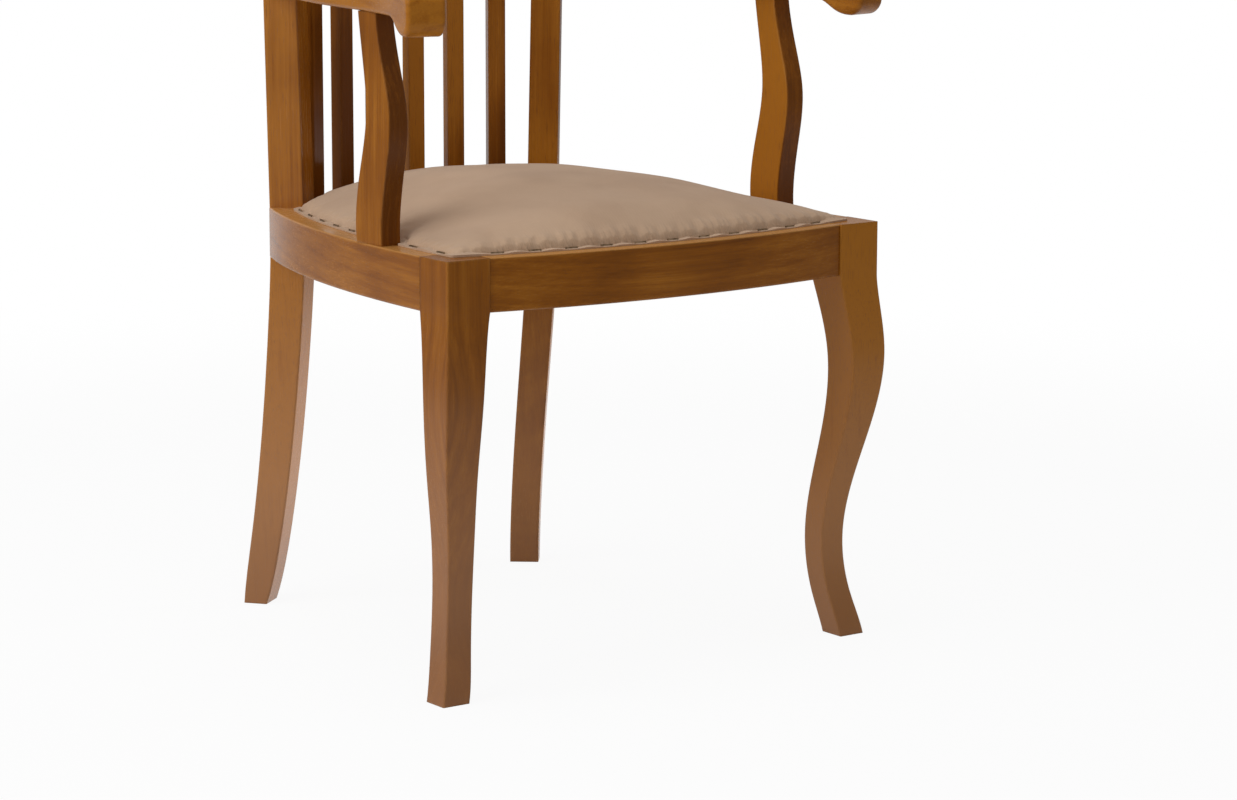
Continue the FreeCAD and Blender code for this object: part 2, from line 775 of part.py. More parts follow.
def webbing_layer(crosswise):
    """Straps of one layer and their tacks."""
    floor = rail_top_height - rebate_depth + (strap_thickness if crosswise else 0)
    top = floor + strap_thickness
    room = webbing_prism(webbing_gap, floor, top)
    straps = []
    tacks = []
    for centre in strap_centres(strap_pitch_along if crosswise else strap_pitch_across):
        if crosswise:
            strip = bar(Vec(-far, seat_middle() + centre, 0), Vec(1, 0, 0), 2 * far, strap_width, floor, top)
        else:
            strip = bar(Vec(centre, -far, 0), Vec(0, 1, 0), 2 * far, strap_width, floor, top)
        for index in range(tacks_per_end):
            step = (index - (tacks_per_end - 1) / 2) * strap_width / tacks_per_end
            tacks += [tack(place, top) for place in tack_places(centre + step, crosswise)]
        straps.append(room.common(strip))
    held = Part.makeCompound(tacks)
    return [strap.cut(held) for strap in straps], tacks


def tack_places(line, crosswise):
    """Plan points of the tacks at both ends of a line along a strap."""
    landing = webbing_landing - webbing_gap - tack_inset
    if crosswise:
        point = side_place(seat_middle() + line, side_rail_thickness - landing)[0]
        return [point, Vec(-point.x, point.y, 0)]
    front = front_arc_radius - front_rail_thickness + landing
    back = back_radius + back_rail_behind_slats - back_rail_thickness + landing
    return [Vec(line, front_arc_centre_y - math.sqrt(front ** 2 - line ** 2), 0),
            Vec(line, back_centre_y + math.sqrt(back ** 2 - line ** 2), 0)]


def tack(place, top):
    """Tack whose head is pressed flush with the webbing."""
    shank = Part.makeCylinder(tack_diameter / 2, tack_length, at_height(place, top - tack_length))
    head = Part.makeCylinder(tack_head_diameter / 2, tack_head_height, at_height(place, top - tack_head_height))
    return shank.fuse(head).removeSplitter()


def staple(centre, along):
    """Wire staple with its crown on the cover and its legs in the wood."""
    top = rail_top_height + cover_thickness
    crown = bar(centre - along * (staple_crown / 2), along, staple_crown, staple_wire, top, top + staple_wire)
    legs = []
    for end in (-1, 1):
        start = centre + along * (end * (staple_crown - staple_wire) / 2) - along * (staple_wire / 2)
        legs.append(bar(start, along, staple_wire, staple_wire, top - staple_leg, top))
    return crown.fuse(legs).removeSplitter()


def evenly(low, high, count):
    """Middles of equal parts of a span."""
    return [low + (high - low) * (index + 0.5) / count for index in range(count)]


def cover_staples():
    """Staples round the border of the cover."""
    middle = cover_border / 2
    staples = []
    radius = front_arc_radius - bare_front - middle
    for x in evenly(-front_rail_end, front_rail_end, front_staple_count):
        rise = math.sqrt(radius ** 2 - x ** 2)
        along = Vec(rise, x, 0).normalize()
        staples.append(staple(Vec(x, front_arc_centre_y - rise, 0), along))
    support_rear = support_setback + support_stations[0][2]
    rear = back_point(stile_angle, cover_back_radius()).y - staple_crown
    depths = evenly(leg_post / 2, support_setback, side_front_staple_count)
    depths += evenly(support_rear, rear, side_rear_staple_count)
    for depth in depths:
        point, along = side_place(depth, bare_side + middle)
        held = staple(at_height(point, 0), along)
        staples += [held, mirrored(held)]
    span = stile_angle - math.degrees(staple_crown / cover_back_radius())
    for angle in evenly(-span, span, back_staple_count):
        staples.append(staple(back_point(angle, cover_back_radius() - middle), slat_across(angle)))
    return staples


def pair(name, shape):
    """A piece and its mirror image, named by the sitter's sides."""
    return {name + "_left": shape, name + "_right": mirrored(shape)}


def build():
    """All pieces of the chair by name, with their joints cut."""
    leg = front_leg_blank()
    stile = stile_blank()
    front_rail = front_rail_blank()
    side_rail = side_rail_blank()
    back_rail = back_rail_blank()
    slat_angles = [(index - (slat_count - 1) / 2) * slat_pitch for index in range(slat_count)]
    dowels = arm_dowels()
    front_screws = block_screws("front")
    rear_screws = block_screws("rear")
    staples = cover_staples()
    lengthwise, lengthwise_tacks = webbing_layer(False)
    crosswise, crosswise_tacks = webbing_layer(True)
    tacks = lengthwise_tacks + crosswise_tacks
    screws = front_screws + rear_screws
    screws += [mirrored(screw) for screw in screws]
    driven = Part.makeCompound(staples + tacks + screws)
    rebate = webbing_prism(0.0, rail_top_height - rebate_depth, rail_top_height)

    front_block = corner_block("front", [leg, front_rail, side_rail]).cut(Part.makeCompound(front_screws))
    rear_block = corner_block("rear", [stile, back_rail, side_rail]).cut(Part.makeCompound(rear_screws))

    leg = leg.cut([mortise(front_rail_tenon), mortise(side_rail_front_tenon), rebate, driven])
    stile = stile.cut([mortise(side_rail_rear_tenon), mortise(back_rail_tenon), driven] + dowels)
    side_rail = side_rail.cut([mortise(support_foot_tenon), rebate, driven])
    front_rail = front_rail.cut([rebate, driven])
    back_rail = back_rail.cut([mortise(slat_foot_tenon, angle) for angle in slat_angles] + [rebate, driven])
    crest = crest_blank().cut([mortise(slat_head_tenon, angle) for angle in slat_angles]
                              + [both_sides(mortise(stile_head_tenon))])
    arm = arm_blank().cut([mortise(support_head_tenon)] + dowels)

    parts = {"seat_rail_front": front_rail, "seat_rail_back": back_rail, "crest_rail": crest}
    parts.update(pair("front_leg", leg))
    parts.update(pair("rear_stile", stile))
    parts.update(pair("seat_rail", side_rail))
    parts.update(pair("arm", arm))
    parts.update(pair("arm_support", arm_support_blank()))
    parts.update(pair("corner_block_front", front_block))
    parts.update(pair("corner_block_rear", rear_block))
    for index, angle in enumerate(slat_angles):
        parts["back_slat_%d" % (index + 1)] = slat(angle)
    for index in range(strap_count):
        parts["webbing_lengthwise_%d" % (index + 1)] = lengthwise[index]
        parts["webbing_crosswise_%d" % (index + 1)] = crosswise[index]
    parts["seat_hessian"] = webbing_prism(webbing_gap, rail_top_height - hessian_thickness, rail_top_height)
    parts["seat_stuffing"] = cushion(0.0)
    parts["seat_cover"] = seat_cover().cut(Part.makeCompound(staples))
    parts["cover_staples"] = Part.makeCompound(staples)
    parts["webbing_tacks"] = Part.makeCompound(tacks)
    parts["corner_block_screws"] = Part.makeCompound(screws)
    parts["arm_dowels"] = Part.makeCompound(dowels + [mirrored(dowel) for dowel in dowels])
    return parts


def main():
    """Centres the chair over its origin and writes one file for each piece."""
    parts = build()
    box = Part.makeCompound(list(parts.values())).optimalBoundingBox(False, False)
    print("overall", round(box.XLength, 2), round(box.YLength, 2), round(box.ZLength, 2))
    os.makedirs("parts", exist_ok=True)
    for name, shape in parts.items():
        shape.translate(Vec(0, -(box.YMin + box.YMax) / 2, 0))
        shape.exportStep("parts/" + name + ".step")


main()
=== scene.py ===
"""Looks of a wooden armchair with a stapled calico seat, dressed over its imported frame.

Lengths are metres. +Z is up, the chair faces -Y, and left is the sitter's left, +X.
"""
import logging
import math
from dataclasses import dataclass
from enum import Enum
from typing import Mapping, Optional, Sequence, Union

import bmesh
import bpy
import numpy as np
from mathutils import Matrix, Vector, geometry, noise
from mathutils.bvhtree import BVHTree
from mathutils.kdtree import KDTree


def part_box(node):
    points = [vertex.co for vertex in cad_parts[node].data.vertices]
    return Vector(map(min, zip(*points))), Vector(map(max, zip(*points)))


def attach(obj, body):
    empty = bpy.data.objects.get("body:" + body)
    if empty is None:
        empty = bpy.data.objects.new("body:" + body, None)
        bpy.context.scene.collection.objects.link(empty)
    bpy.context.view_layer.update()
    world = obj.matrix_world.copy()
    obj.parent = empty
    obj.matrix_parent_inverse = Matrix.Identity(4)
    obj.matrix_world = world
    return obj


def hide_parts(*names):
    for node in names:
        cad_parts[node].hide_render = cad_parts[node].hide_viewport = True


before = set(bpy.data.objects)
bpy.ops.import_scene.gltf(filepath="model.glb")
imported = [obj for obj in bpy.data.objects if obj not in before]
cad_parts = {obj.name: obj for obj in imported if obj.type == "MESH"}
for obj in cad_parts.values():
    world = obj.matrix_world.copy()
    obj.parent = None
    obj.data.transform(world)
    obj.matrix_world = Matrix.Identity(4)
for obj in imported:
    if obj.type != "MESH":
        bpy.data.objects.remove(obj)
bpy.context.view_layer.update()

LOG = logging.getLogger("armchair")

Colour = tuple[float, float, float, float]
Triple = tuple[float, float, float]
Feed = Union["Signal", float, int, Colour, Triple]
Key = Union[int, str]
Thing = bpy.types.Object
Material = bpy.types.Material
Array = np.ndarray
Owner = Union[Material, bpy.types.World]
WHITE: Colour = (1, 1, 1, 1)
SHARP = math.radians(50)


def tint(red: int, green: int, blue: int) -> Colour:
    """Linear colour of an sRGB colour, whose parts go from 0 to 255."""
    shares = (level / 255 for level in (red, green, blue))
    return (*(s / 12.92 if s <= 0.04045 else ((s + 0.055) / 1.055) ** 2.4 for s in shares), 1.0)


class Signal:
    """One output socket, with arithmetic that adds Math nodes to its graph."""

    def __init__(self, graph: "Graph", socket: bpy.types.NodeSocket) -> None:
        """Keeps the graph and the socket."""
        self.graph = graph
        self.socket = socket

    def maths(self, operation: str, first: Feed, second: Feed = 0.0) -> "Signal":
        """Result of a Math node."""
        return self.graph.node("Math", {0: first, 1: second}, operation=operation)

    def __add__(self, other: Feed) -> "Signal":
        """Sum."""
        return self.maths("ADD", self, other)

    __radd__ = __add__

    def __sub__(self, other: Feed) -> "Signal":
        """Difference."""
        return self.maths("SUBTRACT", self, other)

    def __rsub__(self, other: Feed) -> "Signal":
        """Difference from a number."""
        return self.maths("SUBTRACT", other, self)

    def __mul__(self, other: Feed) -> "Signal":
        """Product."""
        return self.maths("MULTIPLY", self, other)

    __rmul__ = __mul__

    def __pow__(self, other: Feed) -> "Signal":
        """Power."""
        return self.maths("POWER", self, other)

    def sine(self) -> "Signal":
        """Sine of an angle in radians."""
        return self.maths("SINE", self)

    def larger(self, other: Feed) -> "Signal":
        """The larger of two values."""
        return self.maths("MAXIMUM", self, other)

    def sibling(self, name: str) -> "Signal":
        """Another output of the same node."""
        return Signal(self.graph, self.socket.node.outputs[name])


class Graph:
    """Builds the node tree of a material or of the world."""

    def __init__(self, owner: Owner) -> None:
        """Empties its owner's node tree.

        Args:
            owner: A material or the world.
        """
        owner.use_nodes = True
        owner.node_tree.nodes.clear()
        self.owner, self.tree = owner, owner.node_tree

    @staticmethod
    def pick(sockets: bpy.types.bpy_prop_collection, key: Key) -> bpy.types.NodeSocket:
        """Finds a socket by its place, identifier or name."""
        return next((s for s in sockets if s.identifier == key), None) or sockets[key]

    def node(self, kind: str, inputs: Optional[Mapping[Key, Feed]] = None, output: Key = 0,
             **settings: object) -> Optional[Signal]:
        """Adds a node.

        Args:
            kind: The node's type, without ShaderNode before it.
            inputs: The values or links of its sockets.
            output: The output that is wanted.
            settings: Its settings, set first. A ramp's stops are pairs of place and colour.

        Returns:
            That output, or None for a node without outputs.
        """
        made = self.tree.nodes.new(f"ShaderNode{kind}")
        for name, value in settings.items():
            if name == "stops":
                ramp = made.color_ramp.elements
                while len(ramp) < len(value):
                    ramp.new(1.0)
                for stop, (place, colour) in zip(ramp, value):
                    stop.position, stop.color = place, colour
            else:
                setattr(made, name, value)
        for key, value in (inputs or {}).items():
            socket = self.pick(made.inputs, key)
            if isinstance(value, Signal):
                self.tree.links.new(value.socket, socket)
            else:
                socket.default_value = value
        return Signal(self, self.pick(made.outputs, output)) if made.outputs else None

    def split(self, vector: Signal) -> tuple[Signal, Signal, Signal]:
        """The three parts of a vector."""
        first = self.node("SeparateXYZ", {0: vector})
        return first, first.sibling("Y"), first.sibling("Z")

    def joined(self, x: Feed, y: Feed, z: Feed) -> Signal:
        """A vector from its three parts."""
        return self.node("CombineXYZ", {0: x, 1: y, 2: z})

    def dot(self, first: Feed, second: Feed) -> Signal:
        """Dot product of two vectors."""
        return self.node("VectorMath", {0: first, 1: second}, "Value", operation="DOT_PRODUCT")

    def clouds(self, at: Signal, lumps: Triple, detail: float = 2, rough: float = 0.5) -> Signal:
        """Noise from 0 to 1, by lumps per metre along each axis, octaves and their weight."""
        spot = self.node("VectorMath", {0: at, 1: lumps}, operation="MULTIPLY")
        return self.node("TexNoise", {
            "Vector": spot, "Scale": 1.0, "Detail": detail, "Roughness": rough}, "Fac")

    def ease(self, value: Signal, low: float, high: float) -> Signal:
        """Smooth rise from 0 at a low value to 1 at a high one."""
        return self.node("MapRange", {"Value": value, "From Min": low, "From Max": high},
                         interpolation_type="SMOOTHSTEP")

    def blend(self, share: Feed, first: Feed, second: Feed) -> Signal:
        """Colour between two others."""
        return self.node("Mix", {"Factor_Float": share, "A_Color": first, "B_Color": second},
                         "Result_Color", data_type="RGBA")

    def ramp(self, value: Signal, stops: Sequence[tuple[float, Colour]]) -> Signal:
        """Colour for a value, along stops of place and colour."""
        return self.node("ValToRGB", {"Fac": value}, "Color", stops=stops)

    def place(self) -> Signal:
        """Place on the object in metres."""
        return self.node("TexCoord", None, "Object")

    def close(self, shader: Signal, kind: str = "OutputMaterial") -> Owner:
        """Sends a shader to the output, and gives the owner back."""
        self.node(kind, {"Surface": shader})
        return self.owner

    def skin(self, inputs: Mapping[Key, Feed]) -> Material:
        """The material, with a Principled shader."""
        return self.close(self.node("BsdfPrincipled", inputs))


class Grain(Enum):
    """Which way the fibres of a piece of wood run, as the order of its axes with the fibres last."""

    UPRIGHT = (0, 1, 2)
    ACROSS = (1, 2, 0)
    FORE_AND_AFT = (2, 0, 1)


@dataclass(frozen=True)
class Take:
    """How one piece took the stain, and the painted light and shade on it.

    Attributes:
        paler: How much paler than the others it is, darker if under 0; for some pieces this is
            painted light or shade.
        thin_top: How much paler its top is from thin stain and painted light from above, from 0 to
            1.
        sawn: How much painted shade darkens its front and back faces over the seat frame.
        root: How much painted shade darkens it down by the seat.
        seat: Height of the seat.
        gloss: How many times shinier than the others it is.
    """

    paler: float = 0.0
    thin_top: float = 0.0
    sawn: float = 0.0
    root: float = 0.0
    seat: float = 0.0
    gloss: float = 1.0


@dataclass(frozen=True)
class Timber:
    """Sawn wood with growth rings, fibres, pores and paler rubbed edges, with painted sheen and
    shade.

    Attributes:
        deep: Colour of the late wood.
        middle: Colour between.
        pale: Colour of the early wood.
        rubbed: Colour of rubbed edges.
        scuffed: Painted sheen of the floor's reflection, the colour that the finish fades to near
            the floor.
        dull: Roughness of the finish.
        shine: Specular level of the finish.
        ring: Width of a growth ring.
        edge: How far in from an edge the rubbing goes.
    """

    deep: Colour
    middle: Colour
    pale: Colour
    rubbed: Colour
    scuffed: Colour
    dull: float
    shine: float
    ring: float = 0.0055
    edge: float = 0.003

    # Noise along the piece's axes, with the fibres along the last
    SWAY, STAIN, STREAKS = ((9, 9, 3), 2), ((9, 9, 9), 3), ((110, 110, 5), 2)
    FIBRES, PORES = ((620, 620, 10), 3, 0.6), ((1900, 1900, 55), 1)
    # Shares of the tone, and the tones of the three colours
    RING_SHARE, FIBRE_SHARE, STREAK_SHARE, STAIN_SHARE, TONE_DROP = 0.34, 0.36, 0.5, 0.7, 0.45
    STOPS = (0.15, 0.5, 0.85)
    # Steps from piece to piece in the plank, and the pith's place across and through a piece
    PLANK_STEPS, RING_STEP = (0.37, 0.61, 0.83), 17
    PITH, PITH_STEPS, PITH_CYCLES, PITH_SWAY = (0.045, 0.03), (0.006, -0.004), (5, 7), 0.02
    # Where painted floor sheen, darkening at the feet, painted shade, wear and stain fade in:
    # heights over the floor, over the seat, and other values
    SCUFF_SPAN, SCUFF_SWAY, GRIME_SPAN, GRIME_SWAY = (0.02, 0.42), 0.1, (0.004, 0.15), 0.04
    SAWN_SPAN, ROOT_SPAN = (-0.08, -0.04), (-0.02, 0.07)
    PORE_SPAN, WORN_SPAN = (0.6, 0.72), (0.75, 1.25)
    EDGE_SPAN, TOP_SPAN = (0.015, 0.16), (0.25, 0.75)
    # How strongly they show
    PORE_WEIGHT, SCUFF_WEIGHT, GRIME_WEIGHT, RUB_WEIGHT = 0.6, 0.6, 0.28, 0.55
    # Relief, and what roughens the finish
    BEVEL_SAMPLES, BUMP, RELIEF, PORE_DEPTH = 4, 0.1, 0.0003, 0.7
    FIBRE_ROUGH, STAIN_ROUGH, PORE_ROUGH, ROUGH_DROP = 0.12, 0.1, 0.08, 0.11

    def material(self, name: str, grain: Grain, seed: int, take: Take = Take()) -> Material:
        """Makes the wood of one piece.

        Args:
            name: Its name.
            grain: Which way the fibres run.
            seed: Its place in the plank.
            take: How it took the stain.

        Returns:
            The material.
        """
        graph = Graph(bpy.data.materials.new(name))
        parts = graph.split(graph.place())
        height = parts[2]
        across, through, along = (parts[axis] for axis in grain.value)
        steps = (step * seed for step in self.PLANK_STEPS)
        plank = graph.joined(*(part + step for part, step in zip((across, through, along), steps)))
        sway = graph.clouds(plank, *self.SWAY)
        sides = zip((across, through), self.PITH, self.PITH_STEPS, self.PITH_CYCLES)
        pith, depth = (part + (off + step * (seed % cycle)) for part, off, step, cycle in sides)
        pith = pith + self.PITH_SWAY * (sway - 0.5)
        radius = (pith * pith + depth * depth) ** 0.5
        turns = radius * (1 / self.ring) + self.RING_STEP * seed
        rings = graph.node("TexNoise", {"W": turns, "Scale": 1.0, "Detail": 2.0}, "Fac",
                           noise_dimensions="1D")
        fibres, streaks = graph.clouds(plank, *self.FIBRES), graph.clouds(plank, *self.STREAKS)
        stain = graph.clouds(plank, *self.STAIN)
        pores = graph.ease(graph.clouds(plank, *self.PORES), *self.PORE_SPAN)
        # The piece's own tone, which for some pieces is painted light or shade
        tone = (rings * self.RING_SHARE + fibres * self.FIBRE_SHARE + streaks * self.STREAK_SHARE
                + stain * self.STAIN_SHARE + (take.paler - self.TONE_DROP))
        rounded = graph.node("Bevel", {"Radius": self.edge}, samples=self.BEVEL_SAMPLES)
        normal = graph.node("NewGeometry", None, "Normal")
        # Painted shade on the front and back faces over the seat frame
        if take.sawn:
            over = graph.ease(height, *(take.seat + end for end in self.SAWN_SPAN))
            tone = tone - graph.split(normal)[1] ** 2 * over * take.sawn
        # Painted shade on the back slats down by the seat
        if take.root:
            over = graph.ease(height, *(take.seat + end for end in self.ROOT_SPAN))
            tone = tone - (1 - over) * take.root
        colour = graph.ramp(tone, tuple(zip(self.STOPS, (self.deep, self.middle, self.pale))))
        colour = graph.blend(pores * self.PORE_WEIGHT, colour, self.deep)
        # Painted reflection of the white floor: the colour fades to a pale sheen towards the floor
        low = 1 - graph.ease(height + self.SCUFF_SWAY * (sway - 0.5), *self.SCUFF_SPAN)
        colour = graph.blend(low * self.SCUFF_WEIGHT, colour, self.scuffed)
        # Darker towards the floor, at the feet
        foot = 1 - graph.ease(height + self.GRIME_SWAY * (sway - 0.5), *self.GRIME_SPAN)
        colour = graph.blend(foot * self.GRIME_WEIGHT, colour, self.deep)
        worn = graph.ease(fibres + stain, *self.WORN_SPAN)
        rub = graph.ease(1 - graph.dot(rounded, normal), *self.EDGE_SPAN) * worn
        colour = graph.blend(rub * self.RUB_WEIGHT, colour, self.rubbed)
        # Paler tops of the seat rails: thin stain there, and painted light from above
        if take.thin_top:
            upward = graph.ease(graph.split(rounded)[2], *self.TOP_SPAN)
            colour = graph.blend(upward * take.thin_top, colour, self.rubbed)
        bump = graph.node("Bump", {
            "Strength": self.BUMP, "Distance": self.RELIEF, "Normal": rounded,
            "Height": fibres - pores * self.PORE_DEPTH})
        rough = (fibres * self.FIBRE_ROUGH + stain * self.STAIN_ROUGH + pores * self.PORE_ROUGH
                 + (self.dull - self.ROUGH_DROP))
        return graph.skin({"Base Color": colour, "Roughness": rough, "Normal": bump,
                           "Specular IOR Level": self.shine * take.gloss})


@dataclass(frozen=True)
class Woven:
    """Plain woven cloth.

    Attributes:
        crown: Colour of the threads' crowns.
        hollow: Colour between the threads.
        speck: Colour of slubs and specks.
        pitch: Distance from thread to thread.
        relief: Height of the weave.
        blotch: How far the tone drifts, from 0 to 1.
        sheen: Weight of the soft sheen.
    """

    crown: Colour
    hollow: Colour
    speck: Colour
    pitch: float
    relief: float
    blotch: float
    sheen: float

    # Noise, and slubs per thread, per metre along it and through it
    DRIFT, CLOUDS, FLECKS = ((60, 60, 60), 2), ((14, 14, 14), 3), ((420, 420, 420), 1)
    SLUBS = (0.9, 18, 60)
    # Angle by which threads wander, where noise fades in, and the shares that show
    WANDER = 1.6 * math.pi
    SLUB_SPAN, CLOUD_SPAN, FLECK_SPAN = (0.6, 0.8), (0.35, 0.75), (0.72, 0.8)
    WEAVE_SHARE, SLUB_SHARE, FLECK_WEIGHT = 0.75, 0.25, 0.35
    # Relief and finish
    BUMP, WEAVE_RISE, SLUB_RISE = 0.5, 0.7, 0.5
    ROUGH, SLUB_ROUGH, SHINE, SHEEN_ROUGH = 0.86, 0.06, 0.15, 0.6

    def material(self, name: str) -> Material:
        """Makes the cloth.

        Args:
            name: Its name.

        Returns:
            The material.
        """
        graph = Graph(bpy.data.materials.new(name))
        place = graph.place()
        x, y, _ = graph.split(place)
        drift = graph.clouds(place, *self.DRIFT) * self.WANDER
        turn = math.pi / self.pitch
        weave = ((x * turn + drift).sine() * (y * turn - drift).sine()) * 0.5 + 0.5
        per_thread, along, through = self.SLUBS
        warp = graph.clouds(place, (per_thread / self.pitch, along, through))
        weft = graph.clouds(place, (along, per_thread / self.pitch, through))
        slub = graph.ease(warp.larger(weft), *self.SLUB_SPAN)
        cloudy = graph.ease(graph.clouds(place, *self.CLOUDS), *self.CLOUD_SPAN)
        fleck = graph.ease(graph.clouds(place, *self.FLECKS), *self.FLECK_SPAN)
        raised = weave * self.WEAVE_SHARE + slub * self.SLUB_SHARE
        colour = graph.blend(raised, self.hollow, self.crown)
        colour = graph.blend(cloudy * self.blotch, colour, self.speck)
        colour = graph.blend(fleck * self.FLECK_WEIGHT, colour, self.speck)
        bump = graph.node("Bump", {
            "Strength": self.BUMP, "Distance": self.relief,
            "Height": weave * self.WEAVE_RISE + slub * self.SLUB_RISE})
        return graph.skin({
            "Base Color": colour, "Normal": bump, "Roughness": self.ROUGH + slub * self.SLUB_ROUGH,
            "Specular IOR Level": self.SHINE, "Sheen Weight": self.sheen,
            "Sheen Roughness": self.SHEEN_ROUGH})


@dataclass(frozen=True)
class Wire:
    """Drawn steel.

    Attributes:
        bright: Colour of the rubbed metal.
        dark: Colour of the dulled metal.
    """

    bright: Colour
    dark: Colour

    # Noise, where it dulls the metal, and how it roughens it
    DULLING, DULL_SPAN, DULL_ROUGH, ROUGH = ((260, 260, 260), 3), (0.3, 0.7), 0.3, 0.25

    def material(self, name: str) -> Material:
        """Makes the steel.

        Args:
            name: Its name.

        Returns:
            The material.
        """
        graph = Graph(bpy.data.materials.new(name))
        dulled = graph.clouds(graph.place(), *self.DULLING)
        colour = graph.blend(graph.ease(dulled, *self.DULL_SPAN), self.bright, self.dark)
        rough = dulled * self.DULL_ROUGH + self.ROUGH
        return graph.skin({"Base Color": colour, "Metallic": 1.0, "Roughness": rough})


STAINED = Timber(deep=tint(106, 57, 8), middle=tint(142, 82, 14), pale=tint(172, 108, 30),
                 rubbed=tint(204, 146, 80), scuffed=tint(178, 132, 98), dull=0.25, shine=0.14)
RAW = Timber(deep=tint(160, 122, 82), middle=tint(196, 160, 115), pale=tint(214, 184, 140),
             rubbed=tint(220, 195, 155), scuffed=tint(205, 175, 135), dull=0.62, shine=0.25)
CALICO = Woven(crown=tint(209, 177, 148), hollow=tint(184, 153, 124), speck=tint(167, 134, 107),
               pitch=0.0009, relief=0.0003, blotch=0.35, sheen=0.15)
HESSIAN = Woven(crown=tint(172, 138, 92), hollow=tint(88, 64, 38), speck=tint(120, 92, 56),
                pitch=0.0026, relief=0.0008, blotch=0.3, sheen=0.1)
JUTE = Woven(crown=tint(186, 158, 116), hollow=tint(126, 100, 66), speck=tint(142, 114, 78),
             pitch=0.0018, relief=0.0006, blotch=0.3, sheen=0.1)
STEEL = Wire(bright=tint(176, 160, 136), dark=tint(118, 102, 80))


def cad(node: str) -> Thing:
    """The object of a CAD node."""
    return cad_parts[node]


def paint(thing: Thing, material: Material) -> None:
    """Gives a piece one material."""
    thing.data.materials.clear()
    thing.data.materials.append(material)


def solid(node: str) -> BVHTree:
    """Search tree over the faces of a CAD node."""
    mesh = cad(node).data
    return BVHTree.FromPolygons([v.co for v in mesh.vertices],
                                [tuple(p.vertices) for p in mesh.polygons])


def added(name: str, points: Array, faces: Sequence[Sequence[int]]) -> Thing:
    """Adds a smooth mesh to the scene.

    Args:
        name: The piece's name.
        points: Its vertices.
        faces: Its faces, as places in points.

    Returns:
        The new object.
    """
    mesh = bpy.data.meshes.new(name)
    mesh.from_pydata([tuple(p) for p in points], [], [tuple(f) for f in faces])
    mesh.validate()
    mesh.shade_smooth()
    mesh.set_sharp_from_angle(angle=SHARP)
    thing = bpy.data.objects.new(name, mesh)
    bpy.context.scene.collection.objects.link(thing)
    return thing


class Plan:
    """Plan outline of a soft CAD node, and a triangle net that fills it."""

    # Rays of the trace, slack of a row and gap of the filling in steps, and merging distance
    RAYS, ROW_SLACK, FILL_GAP, MERGED = 1800, 0.3, 0.8, 1e-6

    def __init__(self, node: str, height: float, step: float) -> None:
        """Traces the node.

        Args:
            node: The CAD node.
            height: Height at which it is traced.
            step: Distance between the outline's points.
        """
        low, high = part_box(node)
        tree = solid(node)
        reach = (high - low).length
        middle = Vector(((low.x + high.x) / 2, (low.y + high.y) / 2, height))
        traced = []
        for ray in range(self.RAYS):
            turn = 2 * math.pi * ray / self.RAYS - math.pi / 2
            way = Vector((math.cos(turn), math.sin(turn), 0))
            hit = tree.ray_cast(middle + way * reach, -way)[0]
            if hit is not None:
                traced.append((hit.x, hit.y))
        line = np.array(traced + traced[:1])
        run = np.concatenate(([0.0], np.cumsum(np.linalg.norm(np.diff(line, axis=0), axis=1))))
        self.length = float(run[-1])
        self.count = int(round(self.length / step))
        self.step = self.length / self.count
        at = np.arange(self.count) * self.step
        self.points = np.stack([np.interp(at, run, line[:, axis]) for axis in (0, 1)], axis=1)
        self.near = KDTree(self.count)
        for place, point in enumerate(self.points):
            self.near.insert((point[0], point[1], 0), place)
        self.near.balance()

    def size(self) -> tuple[float, float]:
        """Width and length of the outline's box."""
        width, length = np.ptp(self.points, axis=0)
        return float(width), float(length)

    def locate(self, points: Array) -> tuple[Array, Array]:
        """How far along the outline and how far in each plan point lies."""
        found = [self.near.find((p[0], p[1], 0)) for p in points]
        return np.array([f[1] * self.step for f in found]), np.array([f[2] for f in found])

    def inside(self, points: Array) -> Array:
        """Finds the points inside the outline.

        Args:
            points: Plan points.

        Returns:
            Whether each one is inside.
        """
        result = np.zeros(len(points), bool)
        ahead = np.roll(self.points, -1, axis=0)
        for (x0, y0), (x1, y1) in zip(self.points, ahead):
            crosses = (y0 > points[:, 1]) != (y1 > points[:, 1])
            if crosses.any():
                at = x0 + (points[:, 1] - y0) * (x1 - x0) / (y1 - y0 if y1 != y0 else 1.0)
                result ^= crosses & (points[:, 0] < at)
        return result

    def net(self, rings: int, step: float) -> tuple[Array, list[list[int]]]:
        """Fills the outline with triangles.

        Args:
            rings: How many rows of points follow the outline.
            step: Distance between the points inside them.

        Returns:
            Plan points and triangles.
        """
        tangent = np.roll(self.points, -1, axis=0) - np.roll(self.points, 1, axis=0)
        tangent /= np.linalg.norm(tangent, axis=1)[:, None]
        inward = np.stack([-tangent[:, 1], tangent[:, 0]], axis=1)
        rows = [self.points]
        for ring in range(1, rings + 1):
            row = self.points + inward * (ring * self.step)
            kept = self.locate(row)[1] > (ring - self.ROW_SLACK) * self.step
            rows.append(row[kept & self.inside(row)])
        low, high = self.points.min(0), self.points.max(0)
        across = np.arange(low[0], high[0], step)
        upward = np.arange(low[1], high[1], step * math.sqrt(3) / 2)
        grid = np.array([(x + (place % 2) * step / 2, y)
                         for place, y in enumerate(upward) for x in across])
        grid = grid[self.inside(grid)]
        rows.append(grid[self.locate(grid)[1] > (rings + self.FILL_GAP) * self.step])
        points = np.concatenate(rows)
        edges = [(place, (place + 1) % self.count) for place in range(self.count)]
        made = geometry.delaunay_2d_cdt([Vector(p) for p in points], edges, [], 1, self.MERGED)
        return np.array([tuple(v) for v in made[0]]), [list(face) for face in made[2]]


